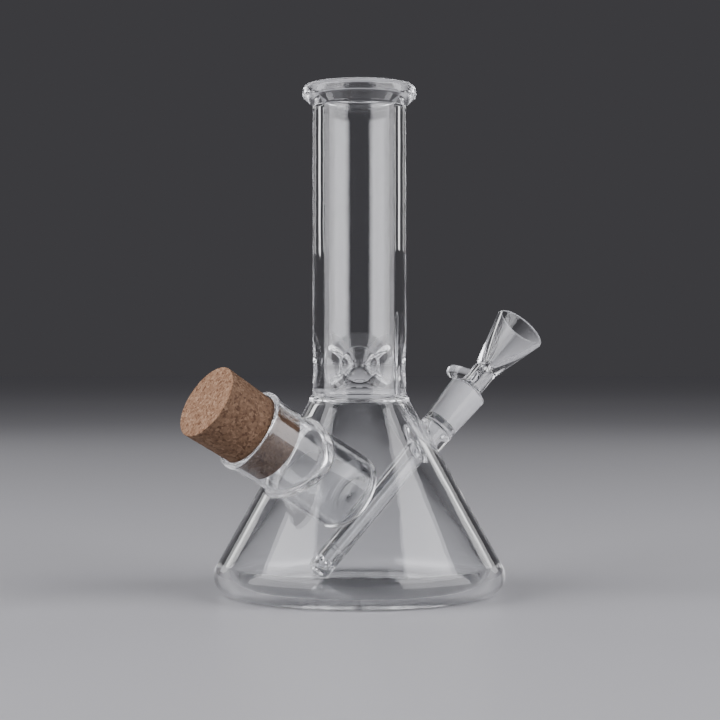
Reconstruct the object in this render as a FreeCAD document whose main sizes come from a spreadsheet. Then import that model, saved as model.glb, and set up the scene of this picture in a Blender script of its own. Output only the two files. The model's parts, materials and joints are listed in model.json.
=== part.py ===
import FreeCAD, Part
import math
import os

import Sketcher

# Clear borosilicate water pipe: a beaker-shaped body with a straight ice-pinched neck, a corked
# storage jar blown into one side, and a ground socket on the other that holds a funnel bowl.
# +Z is up, the origin is the centre of the foot, the jar points to the front left and the ground
# socket to the back right. All lengths are millimetres and all angles degrees.

DIMENSIONS = {
    # beaker body
    "heel_corner": 71.9,       # radius at which the cone line would meet the table
    "heel_round": 9.0,
    "heel_inner_round": 6.0,
    "heel_top": 18.0,          # height at which the heel is sealed to the cone
    "cone_top": 81.0,
    "cone_top_radius": 26.0,
    "glass_wall": 4.6,
    "floor_wall": 4.0,
    # neck and mouthpiece
    "neck_radius": 21.0,
    "neck_foot": 93.0,
    "pinch_head": 118.0,       # top of the stretch of neck that is pinched
    "neck_head": 218.7,
    "foot_thicker": 0.3,       # the reheated foot of the neck is this much thicker
    "foot_taper": 2.0,         # and thins back to the plain wall over this height
    "shoulder_round": 11.5,
    "lip_radius": 25.6,
    "lip_flare": 3.3,
    "lip_top": 228.6,
    "lip_bore": 20.0,
    "lip_bore_flare": 2.3,
    "lip_round": 2.7,
    "lip_under_round": 1.8,
    "lip_bore_round": 2.2,
    # ice pinches
    "pinch_height": 103.2,
    "pinch_start": 24.0,       # distance from the neck's axis at which the pinching tool's cone begins
    "pinch_root": 9.0,
    "pinch_tip": 3.2,
    "pinch_reach": 16.0,
    "pinch_round": 3.0,
    "pinch_wall": 2.4,
    "pinch_azimuth": 270.0,
    "pinch_step": 120.0,
    # storage jar
    "jar_azimuth": 214.5,
    "jar_elevation": 30.35,
    "jar_pivot": 41.2,         # height at which the jar's axis crosses the neck's axis
    "jar_bottom": 4.0,         # distance from that crossing to the jar's bottom
    "jar_mouth": 67.9,
    "jar_radius": 17.9,
    "jar_wall": 1.5,
    "jar_floor": 2.0,
    "jar_round": 5.0,
    "jar_inner_round": 3.8,
    "bead_radius": 18.9,
    "bead_deep": 3.2,
    "bead_round": 1.15,
    "bead_inner_round": 0.57,
    "jar_seal_width": 3.4,
    "jar_seal_rise": 2.2,
    # cork
    "cork_inside": 16.0,
    "cork_outside": 24.0,
    "cork_face_radius": 17.15,
    "cork_mouth_radius": 16.35,
    "cork_round": 0.8,
    # ground joint, 14/20
    "stem_azimuth": 25.5,
    "stem_elevation": 46.5,
    "stem_pivot": 32.4,
    "socket_foot": 58.6,
    "socket_head": 81.1,
    "socket_foot_radius": 7.8,
    "socket_head_radius": 9.2,
    "ground_foot_bore": 6.25,
    "ground_head_bore": 7.25,
    "ground_deep": 20.0,
    "socket_round": 0.5,
    "seal_start": 40.1,
    "seal_flare": 11.4,
    "seal_waist": 53.6,
    "seal_waist_radius": 7.8,
    "seal_round": 9.0,
    # downstem
    "downstem_radius": 5.25,
    "downstem_bore": 3.5,
    "downstem_head": 51.1,
    "downstem_foot": -16.6,
    "diffuser_foot": -31.0,
    "diffuser_floor": 1.8,
    "diffuser_round": 3.0,
    "diffuser_inner_round": 1.4,
    "vent_radius": 1.3,
    "vent_height": 6.0,
    # bowl
    "ground_gap": 0.05,
    "male_bore": 4.6,
    "male_shoulder": 2.6,
    "male_round": 1.3,
    "bowl_neck_radius": 5.5,
    "bowl_neck_bore": 3.4,
    "bowl_foot": 93.1,
    "bowl_pinch": 97.1,
    "bowl_pinch_bore": 1.9,
    "bowl_rim": 121.2,
    "bowl_rim_radius": 12.9,
    "bowl_wall": 1.6,
    "bowl_round": 0.7,
    "handle_roll": -42.7,
    "handle_radius": 3.3,
    "handle_height": 88.7,
    "handle_reach": 21.5,
    "handle_round": 2.8,
}

PINCH_COUNT = 3
VENT_COUNT = 6
OVERRUN = 2.0       # how far a cutting tool runs past the glass it cuts
SAME_PLACE = 0.01   # how near an edge lies to the circle it is looked up by
VENT_TOLERANCE = 0.2


class Size:
    """A driven length or angle: its number, and the expression that ties it to the sheet."""

    def __init__(self, value, text):
        self.value = value
        self.text = text

    def __add__(self, other):
        other = as_size(other)
        return Size(self.value + other.value, f"({self.text} + {other.text})")

    def __sub__(self, other):
        other = as_size(other)
        return Size(self.value - other.value, f"({self.text} - {other.text})")

    def __mul__(self, other):
        other = as_size(other)
        return Size(self.value * other.value, f"({self.text} * {other.text})")

    def __truediv__(self, other):
        other = as_size(other)
        return Size(self.value / other.value, f"({self.text} / {other.text})")


def as_size(number):
    if isinstance(number, Size):
        return number
    return Size(float(number), f"({number})")


def cos_of(angle):
    return Size(math.cos(math.radians(angle.value)), f"cos({angle.text})")


def sin_of(angle):
    return Size(math.sin(math.radians(angle.value)), f"sin({angle.text})")


doc = FreeCAD.newDocument("water_pipe")
sheet = doc.addObject("Spreadsheet::Sheet", "Dims")
for row, (alias, number) in enumerate(DIMENSIONS.items(), start=1):
    sheet.set(f"A{row}", alias)
    sheet.set(f"B{row}", str(number))
    sheet.setAlias(f"B{row}", alias)
doc.recompute()

dims = {alias: Size(number, f"Dims.{alias}") for alias, number in DIMENSIONS.items()}
ZERO = Size(0.0, "0")
parts = []


def bind(item, **sizes):
    """Tie properties of an object to the sheet."""
    for name, size in sizes.items():
        size = as_size(size)
        setattr(item, name, size.value)
        item.setExpression(name, size.text)


def node(item, name):
    """Label an object as one named piece of the pipe."""
    item.Label = name
    parts.append(item)
    return item


class Axis:
    """A tilted axis that crosses the neck's axis, and distances along it."""

    def __init__(self, pivot, azimuth, elevation):
        self.pivot = pivot
        self.azimuth = azimuth
        self.elevation = elevation

    def place(self, item, station):
        """Stand an object's own +Z along the axis, at a distance from the crossing."""
        level = cos_of(self.elevation) * station
        east = level * cos_of(self.azimuth)
        north = level * sin_of(self.azimuth)
        height = self.pivot + sin_of(self.elevation) * station
        lean = Size(90.0, "90") - self.elevation
        turn = FreeCAD.Rotation(FreeCAD.Vector(0, 0, 1), self.azimuth.value)
        tip = FreeCAD.Rotation(FreeCAD.Vector(0, 1, 0), lean.value)
        spot = FreeCAD.Vector(east.value, north.value, height.value)
        item.Placement = FreeCAD.Placement(spot, turn.multiply(tip))
        item.setExpression(".Placement.Base.x", east.text)
        item.setExpression(".Placement.Base.y", north.text)
        item.setExpression(".Placement.Base.z", height.text)


def origin_plane(body, role):
    """One of a body's own origin planes."""
    for feature in body.Origin.OriginFeatures:
        if feature.Role == role:
            return feature
    raise ValueError(role)


def constrain_corner(sketch, line, radius, height):
    """Hold the start of a line at a driven radius and height from the turning axis."""
    for kind, size, own_axis in (("DistanceX", radius, -2), ("DistanceY", height, -1)):
        if size is ZERO:
            sketch.addConstraint(Sketcher.Constraint("PointOnObject", line, 1, own_axis))
            continue
        index = sketch.addConstraint(Sketcher.Constraint(kind, -1, 1, line, 1, size.value))
        sketch.setExpression(f"Constraints[{index}]", size.text)


def draw_outline(body, outline, role="XZ_Plane"):
    """A closed sketch through driven corners, given as radius and height."""
    sketch = body.newObject("Sketcher::SketchObject", body.Name + "Outline")
    sketch.AttachmentSupport = [(origin_plane(body, role), "")]
    sketch.MapMode = "FlatFace"
    corners = [FreeCAD.Vector(radius.value, height.value, 0) for radius, height in outline]
    count = len(corners)
    for index in range(count):
        sketch.addGeometry(Part.LineSegment(corners[index], corners[(index + 1) % count]), False)
    for index in range(count):
        sketch.addConstraint(Sketcher.Constraint("Coincident", index, 2, (index + 1) % count, 1))
    for index, (radius, height) in enumerate(outline):
        constrain_corner(sketch, index, radius, height)
    return sketch


def edges_at(shape, radius, height):
    """Names of the circular edges of a turned shape at a radius and height."""
    names = []
    for index, edge in enumerate(shape.Edges, start=1):
        if not isinstance(edge.Curve, Part.Circle):
            continue
        near_radius = abs(edge.Curve.Radius - radius.value) < SAME_PLACE
        near_height = abs(edge.Curve.Center.z - height.value) < SAME_PLACE
        if near_radius and near_height:
            names.append(f"Edge{index}")
    return names


def turned(name, outline, rounds=()):
    """A body of revolution about its own Z, with some of its circular edges rounded."""
    body = doc.addObject("PartDesign::Body", name)
    sketch = draw_outline(body, outline)
    turn = body.newObject("PartDesign::Revolution", name + "Turn")
    turn.Profile = sketch
    turn.ReferenceAxis = (sketch, ["V_Axis"])
    turn.Angle = 360.0
    sketch.Visibility = False
    doc.recompute()
    base = turn
    for index, (radius, height, size) in enumerate(rounds):
        fillet = body.newObject("PartDesign::Fillet", f"{name}Round{index}")
        fillet.Base = (base, edges_at(base.Shape, radius, height))
        bind(fillet, Radius=size)
        doc.recompute()
        base = fillet
    body.Tip = base
    return body


def cylinder(name, radius, height):
    item = doc.addObject("Part::Cylinder", name)
    bind(item, Radius=radius, Height=height)
    return item


def cone(name, foot_radius, head_radius, height):
    item = doc.addObject("Part::Cone", name)
    bind(item, Radius1=foot_radius, Radius2=head_radius, Height=height)
    return item


def cut(name, base, tool):
    item = doc.addObject("Part::Cut", name)
    item.Base = base
    item.Tool = tool
    return item


def common(name, base, tool):
    item = doc.addObject("Part::Common", name)
    item.Base = base
    item.Tool = tool
    return item


def joined(name, shapes):
    item = doc.addObject("Part::MultiFuse", name)
    item.Shapes = shapes
    return item


jar_axis = Axis(dims["jar_pivot"], dims["jar_azimuth"], dims["jar_elevation"])
stem_axis = Axis(dims["stem_pivot"], dims["stem_azimuth"], dims["stem_elevation"])

wall = dims["glass_wall"]
cone_slope = (dims["heel_corner"] - dims["cone_top_radius"]) / dims["cone_top"]
slope_angle = math.atan(cone_slope.value)
# the wall's thickness measured level, across the slanting cone
level_wall = wall * (1.0 / math.cos(slope_angle))
neck_bore = dims["neck_radius"] - wall
foot_bore = neck_bore - dims["foot_thicker"]


def cone_radius(height):
    """Outer radius of the beaker's cone at a height."""
    return dims["heel_corner"] - cone_slope * height


def make_base():
    """The thick floor and the rounded heel."""
    heel_radius = cone_radius(dims["heel_top"])
    floor_radius = cone_radius(dims["floor_wall"]) - level_wall
    outline = [
        (ZERO, ZERO),
        (dims["heel_corner"], ZERO),
        (heel_radius, dims["heel_top"]),
        (heel_radius - level_wall, dims["heel_top"]),
        (floor_radius, dims["floor_wall"]),
        (ZERO, dims["floor_wall"]),
    ]
    rounds = [
        (dims["heel_corner"], ZERO, dims["heel_round"]),
        (floor_radius, dims["floor_wall"], dims["heel_inner_round"]),
    ]
    node(turned("Base", outline, rounds), "beaker_base")


def make_wall():
    """The cone, with the holes that the jar and the downstem are sealed into."""
    foot = cone_radius(dims["heel_top"])
    head = dims["cone_top_radius"]
    outline = [
        (foot - level_wall, dims["heel_top"]),
        (foot, dims["heel_top"]),
        (head, dims["cone_top"]),
        (head - level_wall, dims["cone_top"]),
    ]
    shell = turned("Cone", outline)
    jar_hole = cylinder("JarHole", dims["jar_radius"], dims["jar_mouth"])
    jar_axis.place(jar_hole, dims["jar_bottom"])
    stem_hole = cylinder("StemHole", dims["downstem_radius"], dims["socket_head"])
    stem_axis.place(stem_hole, ZERO)
    holes = joined("WallHoles", [jar_hole, stem_hole])
    node(cut("Wall", shell, holes), "beaker_wall")


def make_shoulder():
    """The seal that carries the cone up into the neck."""
    cone_top = dims["cone_top"]
    head = dims["cone_top_radius"]
    meet = cone_top + (head - dims["neck_radius"]) / cone_slope
    inner_meet = cone_top + (head - level_wall - foot_bore) / cone_slope
    outline = [
        (head - level_wall, cone_top),
        (head, cone_top),
        (dims["neck_radius"], meet),
        (dims["neck_radius"], dims["neck_foot"]),
        (foot_bore, dims["neck_foot"]),
        (foot_bore, inner_meet),
    ]
    rounds = [
        (dims["neck_radius"], meet, dims["shoulder_round"]),
        (foot_bore, inner_meet, dims["shoulder_round"]),
    ]
    node(turned("Shoulder", outline, rounds), "neck_seal")


def pinch_tools(name, thicker):
    """Three round-nosed cones that point at the neck's axis, a third of a turn apart."""
    tools = []
    reach = dims["pinch_reach"] + thicker
    tip = dims["pinch_tip"] + thicker
    for index in range(PINCH_COUNT):
        outline = [
            (ZERO, ZERO),
            (dims["pinch_root"] + thicker, ZERO),
            (tip, reach),
            (ZERO, reach),
        ]
        tool = turned(f"{name}{index}", outline, [(tip, reach, dims["pinch_round"] + thicker)])
        azimuth = dims["pinch_azimuth"] + dims["pinch_step"] * index
        east = dims["pinch_start"] * cos_of(azimuth)
        north = dims["pinch_start"] * sin_of(azimuth)
        inward = FreeCAD.Vector(-east.value, -north.value, 0)
        aim = FreeCAD.Rotation(FreeCAD.Vector(0, 0, 1), inward)
        spot = FreeCAD.Vector(east.value, north.value, dims["pinch_height"].value)
        tool.Placement = FreeCAD.Placement(spot, aim)
        tool.setExpression(".Placement.Base.x", east.text)
        tool.setExpression(".Placement.Base.y", north.text)
        tool.setExpression(".Placement.Base.z", dims["pinch_height"].text)
        tools.append(tool)
    return joined(name + "Set", tools)


def make_pinches():
    """The foot of the neck, pushed in at three places to hold ice."""
    high = dims["pinch_head"] - dims["neck_foot"]
    outer = cylinder("PinchedOuter", dims["neck_radius"], high)
    bind_height(outer, dims["neck_foot"])
    outline = [
        (ZERO, ZERO),
        (foot_bore, ZERO),
        (foot_bore, high - dims["foot_taper"]),
        (neck_bore, high),
        (ZERO, high),
    ]
    inner = turned("PinchedInner", outline)
    bind_height(inner, dims["neck_foot"])
    dented = cut("PinchedDented", outer, pinch_tools("PinchOuter", ZERO))
    hollow = cut("PinchedHollow", inner, pinch_tools("PinchInner", dims["pinch_wall"]))
    node(cut("Pinched", dented, hollow), "ice_pinch_section")


def make_neck():
    """The straight neck above the pinches."""
    outline = [
        (neck_bore, dims["pinch_head"]),
        (dims["neck_radius"], dims["pinch_head"]),
        (dims["neck_radius"], dims["neck_head"]),
        (neck_bore, dims["neck_head"]),
    ]
    node(turned("Neck", outline), "neck_tube")


def bind_height(item, height):
    """Lift an upright object to a driven height."""
    item.Placement = FreeCAD.Placement(FreeCAD.Vector(0, 0, height.value), FreeCAD.Rotation())
    item.setExpression(".Placement.Base.z", height.text)


def make_lip():
    """The flared, fire-polished mouthpiece."""
    outline = [
        (neck_bore, dims["neck_head"]),
        (dims["neck_radius"], dims["neck_head"]),
        (dims["lip_radius"], dims["neck_head"] + dims["lip_flare"]),
        (dims["lip_radius"], dims["lip_top"]),
        (dims["lip_bore"], dims["lip_top"]),
        (neck_bore, dims["neck_head"] + dims["lip_bore_flare"]),
    ]
    rounds = [
        (dims["lip_radius"], dims["lip_top"], dims["lip_round"]),
        (dims["lip_radius"], dims["neck_head"] + dims["lip_flare"], dims["lip_under_round"]),
        (dims["lip_bore"], dims["lip_top"], dims["lip_bore_round"]),
    ]
    node(turned("Lip", outline, rounds), "mouthpiece_lip")


def make_jar():
    """The jar: a straight tube with a rounded floor, and the rolled bead at its mouth."""
    high = dims["jar_mouth"] - dims["bead_deep"] - dims["jar_bottom"]
    bore = dims["jar_radius"] - dims["jar_wall"]
    outline = [
        (ZERO, ZERO),
        (dims["jar_radius"], ZERO),
        (dims["jar_radius"], high),
        (bore, high),
        (bore, dims["jar_floor"]),
        (ZERO, dims["jar_floor"]),
    ]
    rounds = [
        (dims["jar_radius"], ZERO, dims["jar_round"]),
        (bore, dims["jar_floor"], dims["jar_inner_round"]),
    ]
    jar = turned("Jar", outline, rounds)
    jar_axis.place(jar, dims["jar_bottom"])
    node(jar, "storage_jar")

    bead_outline = [
        (bore, ZERO),
        (dims["bead_radius"], ZERO),
        (dims["bead_radius"], dims["bead_deep"]),
        (bore, dims["bead_deep"]),
    ]
    bead_rounds = [
        (dims["bead_radius"], ZERO, dims["bead_round"]),
        (dims["bead_radius"], dims["bead_deep"], dims["bead_round"]),
        (bore, dims["bead_deep"], dims["bead_inner_round"]),
    ]
    bead = turned("Bead", bead_outline, bead_rounds)
    jar_axis.place(bead, dims["jar_mouth"] - dims["bead_deep"])
    node(bead, "jar_mouth_bead")


def solid_cone(name, rise):
    """The whole outer form of the cone as a solid, grown outwards by a rise."""
    grown = rise * (1.0 / math.cos(slope_angle))
    foot = cone_radius(ZERO) + grown
    item = cone(name, foot, dims["cone_top_radius"] + grown, dims["cone_top"])
    return item


def make_jar_seal():
    """The ring of glass that seals the jar into the cone."""
    collar = cylinder("SealCollar", dims["jar_radius"] + dims["jar_seal_width"], dims["jar_mouth"])
    jar_axis.place(collar, dims["jar_bottom"])
    band = common("SealBand", collar, solid_cone("SealOutside", dims["jar_seal_rise"]))
    bore = cylinder("SealBore", dims["jar_radius"], dims["jar_mouth"])
    jar_axis.place(bore, dims["jar_bottom"])
    inside = joined("SealInside", [solid_cone("SealWall", ZERO), bore])
    node(cut("JarSeal", band, inside), "jar_seal")


def make_socket():
    """The ground socket, tapered one in ten inside."""
    high = dims["socket_head"] - dims["socket_foot"]
    neck_high = high - dims["ground_deep"]
    outline = [
        (dims["ground_foot_bore"], ZERO),
        (dims["socket_foot_radius"], ZERO),
        (dims["socket_head_radius"], high),
        (dims["ground_head_bore"], high),
        (dims["ground_foot_bore"], neck_high),
    ]
    rounds = [(dims["socket_head_radius"], high, dims["socket_round"])]
    socket = turned("Socket", outline, rounds)
    stem_axis.place(socket, dims["socket_foot"])
    node(socket, "joint_socket")


def make_socket_seal():
    """The flared seal between the cone, the downstem and the ground socket."""
    start = dims["seal_start"]
    outline = [
        (dims["downstem_radius"], ZERO),
        (dims["seal_flare"], ZERO),
        (dims["seal_waist_radius"], dims["seal_waist"] - start),
        (dims["socket_foot_radius"], dims["socket_foot"] - start),
        (dims["ground_foot_bore"], dims["socket_foot"] - start),
        (dims["downstem_bore"], dims["seal_waist"] - start),
        (dims["downstem_bore"], dims["downstem_head"] - start),
        (dims["downstem_radius"], dims["downstem_head"] - start),
    ]
    rounds = [(dims["seal_waist_radius"], dims["seal_waist"] - start, dims["seal_round"])]
    flare = turned("SocketFlare", outline, rounds)
    stem_axis.place(flare, start)
    node(cut("SocketSeal", flare, solid_cone("SocketWall", ZERO)), "socket_seal")


def make_downstem():
    """The tube that leads from the socket down to the floor, and its closed, vented tip."""
    foot = dims["downstem_foot"]
    outline = [
        (dims["downstem_bore"], ZERO),
        (dims["downstem_radius"], ZERO),
        (dims["downstem_radius"], dims["downstem_head"] - foot),
        (dims["downstem_bore"], dims["downstem_head"] - foot),
    ]
    tube = turned("Downstem", outline)
    stem_axis.place(tube, foot)
    node(tube, "downstem")

    high = foot - dims["diffuser_foot"]
    tip_outline = [
        (ZERO, ZERO),
        (dims["downstem_radius"], ZERO),
        (dims["downstem_radius"], high),
        (dims["downstem_bore"], high),
        (dims["downstem_bore"], dims["diffuser_floor"]),
        (ZERO, dims["diffuser_floor"]),
    ]
    tip_rounds = [
        (dims["downstem_radius"], ZERO, dims["diffuser_round"]),
        (dims["downstem_bore"], dims["diffuser_floor"], dims["diffuser_inner_round"]),
    ]
    body = turned("Diffuser", tip_outline, tip_rounds)
    cut_vents(body)
    stem_axis.place(body, dims["diffuser_foot"])
    node(body, "diffuser_tip")


def cut_vents(body):
    """Round vents through the side of a closed tube, evenly round it."""
    sketch = body.newObject("Sketcher::SketchObject", body.Name + "Vent")
    sketch.AttachmentSupport = [(origin_plane(body, "XZ_Plane"), "")]
    sketch.MapMode = "FlatFace"
    centre = FreeCAD.Vector(0, dims["vent_height"].value, 0)
    circle = Part.Circle(centre, FreeCAD.Vector(0, 0, 1), dims["vent_radius"].value)
    sketch.addGeometry(circle, False)
    sketch.addConstraint(Sketcher.Constraint("PointOnObject", 0, 3, -2))
    rise = sketch.addConstraint(Sketcher.Constraint("DistanceY", -1, 1, 0, 3, centre.y))
    sketch.setExpression(f"Constraints[{rise}]", dims["vent_height"].text)
    wide = sketch.addConstraint(Sketcher.Constraint("Radius", 0, dims["vent_radius"].value))
    sketch.setExpression(f"Constraints[{wide}]", dims["vent_radius"].text)
    before = body.Shape.Volume
    vent = body.newObject("PartDesign::Pocket", body.Name + "Pocket")
    vent.Profile = sketch
    bind(vent, Length=dims["downstem_radius"] + OVERRUN)
    doc.recompute()
    around = body.newObject("PartDesign::PolarPattern", body.Name + "Vents")
    around.Originals = [vent]
    around.Axis = (sketch, ["V_Axis"])
    around.Angle = 360.0
    around.Occurrences = VENT_COUNT
    body.Tip = around
    doc.recompute()
    # each vent passes once through the wall, so the six take about this much glass
    depth = dims["downstem_radius"].value - dims["downstem_bore"].value
    expected = VENT_COUNT * math.pi * dims["vent_radius"].value ** 2 * depth
    taken = before - body.Shape.Volume
    if abs(taken - expected) > VENT_TOLERANCE * expected:
        raise RuntimeError("the vents do not pass cleanly through the wall")


def make_bowl():
    """The funnel bowl: ground stem, cone and rod handle."""
    gap = dims["ground_gap"]
    ground_foot = dims["socket_head"] - dims["ground_deep"]
    ground = dims["ground_deep"]
    foot_radius = dims["ground_foot_bore"] - gap
    head_radius = dims["ground_head_bore"] - gap
    shoulder = ground + dims["male_shoulder"]
    high = dims["bowl_foot"] - ground_foot
    wall_bore = dims["male_bore"]
    stem_outline = [
        (wall_bore, ZERO),
        (foot_radius, ZERO),
        (head_radius, ground),
        (dims["bowl_neck_radius"], shoulder),
        (dims["bowl_neck_radius"], high),
        (dims["bowl_neck_bore"], high),
        (dims["bowl_neck_bore"], shoulder),
        (wall_bore, ground),
    ]
    stem_rounds = [
        (dims["bowl_neck_radius"], shoulder, dims["male_round"]),
        (head_radius, ground, dims["socket_round"]),
    ]
    stem = turned("BowlStem", stem_outline, stem_rounds)
    stem_axis.place(stem, ground_foot)

    rise = dims["bowl_pinch"] - dims["bowl_foot"]
    rim = dims["bowl_rim"] - dims["bowl_foot"]
    cone_outline = [
        (dims["bowl_neck_bore"], ZERO),
        (dims["bowl_neck_radius"], ZERO),
        (dims["bowl_rim_radius"], rim),
        (dims["bowl_rim_radius"] - dims["bowl_wall"], rim),
        (dims["bowl_pinch_bore"], rise),
    ]
    cone_rounds = [
        (dims["bowl_rim_radius"], rim, dims["bowl_round"]),
        (dims["bowl_rim_radius"] - dims["bowl_wall"], rim, dims["bowl_round"]),
    ]
    funnel = turned("BowlCone", cone_outline, cone_rounds)
    stem_axis.place(funnel, dims["bowl_foot"])

    rod = turned(
        "HandleRod",
        [
            (ZERO, ZERO),
            (dims["handle_radius"], ZERO),
            (dims["handle_radius"], dims["handle_reach"]),
            (ZERO, dims["handle_reach"]),
        ],
        [(dims["handle_radius"], dims["handle_reach"], dims["handle_round"])],
    )
    place_handle(rod)
    core = cylinder("HandleCore", dims["bowl_neck_radius"], dims["handle_reach"])
    stem_axis.place(core, dims["handle_height"] - dims["handle_reach"] * 0.5)
    node(stem, "bowl_stem")
    node(funnel, "bowl_cone")
    node(cut("Handle", rod, core), "bowl_handle")


def place_handle(rod):
    """Point the handle square to the bowl's axis, to the left and away, rising slightly."""
    azimuth = math.radians(stem_axis.azimuth.value)
    elevation = math.radians(stem_axis.elevation.value)
    level = FreeCAD.Vector(math.cos(azimuth), math.sin(azimuth), 0) * math.cos(elevation)
    along = level + FreeCAD.Vector(0, 0, math.sin(elevation))
    left = FreeCAD.Vector(-1, 0, 0)
    square = (left - along * left.dot(along)).normalize()
    roll = FreeCAD.Rotation(along, dims["handle_roll"].value)
    stem_axis.place(rod, dims["handle_height"])
    aim = FreeCAD.Rotation(FreeCAD.Vector(0, 0, 1), roll.multVec(square))
    rod.Placement = FreeCAD.Placement(rod.Placement.Base, aim)


def make_cork():
    """The tapered cork, pushed into the jar's mouth until it wedges."""
    high = dims["cork_inside"] + dims["cork_outside"]
    taper = (dims["cork_face_radius"] - dims["cork_mouth_radius"]) / dims["cork_outside"]
    inner = dims["cork_mouth_radius"] - taper * dims["cork_inside"]
    outline = [
        (ZERO, ZERO),
        (inner, ZERO),
        (dims["cork_face_radius"], high),
        (ZERO, high),
    ]
    rounds = [
        (inner, ZERO, dims["cork_round"]),
        (dims["cork_face_radius"], high, dims["cork_round"]),
    ]
    cork = turned("Cork", outline, rounds)
    jar_axis.place(cork, dims["jar_mouth"] - dims["cork_inside"])
    node(cork, "cork_stopper")


make_base()
make_wall()
make_shoulder()
make_pinches()
make_neck()
make_lip()
make_jar()
make_jar_seal()
make_socket()
make_socket_seal()
make_downstem()
make_bowl()
make_cork()

doc.recompute()
for item in doc.Objects:
    if "Invalid" in item.State or "Error" in item.State:
        raise RuntimeError(f"{item.Label}: {item.State}")
for item in parts:
    if item.Shape.isNull() or not item.Shape.isValid():
        raise RuntimeError(f"{item.Label} has no valid shape")

os.makedirs("parts", exist_ok=True)
for item in parts:
    item.Shape.exportStep(f"parts/{item.Label}.step")
    print(item.Label, len(item.Shape.Solids), round(item.Shape.Volume, 1))
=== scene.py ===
import json
import math

import bmesh
import bpy
import numpy as np
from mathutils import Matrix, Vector, noise
from mathutils.geometry import delaunay_2d_cdt


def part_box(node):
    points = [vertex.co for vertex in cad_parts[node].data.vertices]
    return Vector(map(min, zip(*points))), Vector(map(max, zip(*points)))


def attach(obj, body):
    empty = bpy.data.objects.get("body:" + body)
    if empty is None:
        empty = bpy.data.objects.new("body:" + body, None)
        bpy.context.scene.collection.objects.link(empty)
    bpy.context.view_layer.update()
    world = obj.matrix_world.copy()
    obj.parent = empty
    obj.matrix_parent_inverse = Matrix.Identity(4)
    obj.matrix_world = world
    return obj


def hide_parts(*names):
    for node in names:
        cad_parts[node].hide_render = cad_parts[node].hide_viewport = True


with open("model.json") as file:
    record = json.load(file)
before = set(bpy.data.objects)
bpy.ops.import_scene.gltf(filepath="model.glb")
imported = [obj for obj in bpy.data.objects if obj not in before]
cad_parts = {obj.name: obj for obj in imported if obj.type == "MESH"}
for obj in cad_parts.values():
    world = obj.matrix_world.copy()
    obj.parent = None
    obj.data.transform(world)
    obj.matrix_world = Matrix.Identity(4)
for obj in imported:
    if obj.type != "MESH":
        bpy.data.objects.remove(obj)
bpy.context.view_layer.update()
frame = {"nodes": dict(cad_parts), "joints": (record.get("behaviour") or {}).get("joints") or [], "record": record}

# A clear glass beaker-base water pipe. Every length below is in millimetres and becomes metres only
# when a mesh is made. The glass is one continuous skin cut into named sections: neighbouring
# sections end in the same ring of vertices, so no wall is hidden inside the glass.

MM = 0.001


# ---------------------------------------------------------------- places, from the frame

def corner_points(node):
    """A CAD node's vertices at rest, in millimetres."""
    vertices = frame["nodes"][node].data.vertices
    flat = np.empty(len(vertices) * 3)
    vertices.foreach_get("co", flat)
    return flat.reshape(-1, 3) / MM


def outer_radius(node):
    low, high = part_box(node)
    return max(-low.x, high.x) / MM


def top_of(node):
    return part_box(node)[1].z / MM


def unit(vector):
    vector = np.asarray(vector, float)
    return vector / np.linalg.norm(vector)


class Axis:
    """A straight axis with distances along it, and turns about it."""

    def __init__(self, origin, along, side=None):
        self.origin = np.asarray(origin, float)
        self.along = unit(along)
        if side is None:
            side = np.cross(self.along, (0, 0, 1.0))
        self.side = unit(side)
        self.over = np.cross(self.along, self.side)

    def outward(self, turn):
        turn = np.asarray(turn)[..., None]
        return np.cos(turn) * self.side + np.sin(turn) * self.over

    def at(self, station, radius, turn):
        station = np.asarray(station, float)[..., None]
        radius = np.asarray(radius, float)[..., None]
        return self.origin + station * self.along + radius * self.outward(turn)

    def cylindrical(self, points):
        """Station, radius and turn of points."""
        offset = points - self.origin
        station = offset @ self.along
        aside = offset @ self.side
        over = offset @ self.over
        return station, np.hypot(aside, over), np.arctan2(over, aside)

    def span(self, node):
        """First and last station and the greatest radius of a CAD node."""
        station, radius, _ = self.cylindrical(corner_points(node))
        return station.min(), station.max(), radius.max()


def crossing_axis(point, along):
    """The axis through a point, measured from where it crosses the neck's axis."""
    along = unit(along)
    point = np.asarray(point, float)
    back = (point[:2] @ along[:2]) / (along[:2] @ along[:2])
    return Axis(point - back * along, along)


joint_axis = {joint["name"]: joint["axis"] for joint in frame["joints"]}
mount_place = {mount["name"]: mount["pos_m"] for mount in frame["record"]["mounts"]}
bead_low, bead_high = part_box("jar_mouth_bead")

neck_axis = Axis((0, 0, 0), (0, 0, 1), (1, 0, 0))
jar_axis = crossing_axis((bead_low + bead_high) * (0.5 / MM), joint_axis["cork_pull"])
stem_axis = crossing_axis(np.array(mount_place["ground_socket"]) / MM, joint_axis["bowl_pull"])

HEEL_TOP = top_of("beaker_base")
HEEL_FOOT_RADIUS = outer_radius("beaker_wall")
CONE_TOP = top_of("beaker_wall")
CONE_TOP_RADIUS = outer_radius("neck_seal")
NECK_FOOT = top_of("neck_seal")
NECK_RADIUS = outer_radius("neck_tube")
NECK_HEAD = top_of("neck_tube")
LIP_TOP = top_of("mouthpiece_lip")
LIP_RADIUS = outer_radius("mouthpiece_lip")

JAR_FOOT, JAR_HEAD, JAR_RADIUS = jar_axis.span("storage_jar")
_, BEAD_HEAD, BEAD_RADIUS = jar_axis.span("jar_mouth_bead")
CORK_FOOT, CORK_HEAD, CORK_RADIUS = jar_axis.span("cork_stopper")

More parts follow.
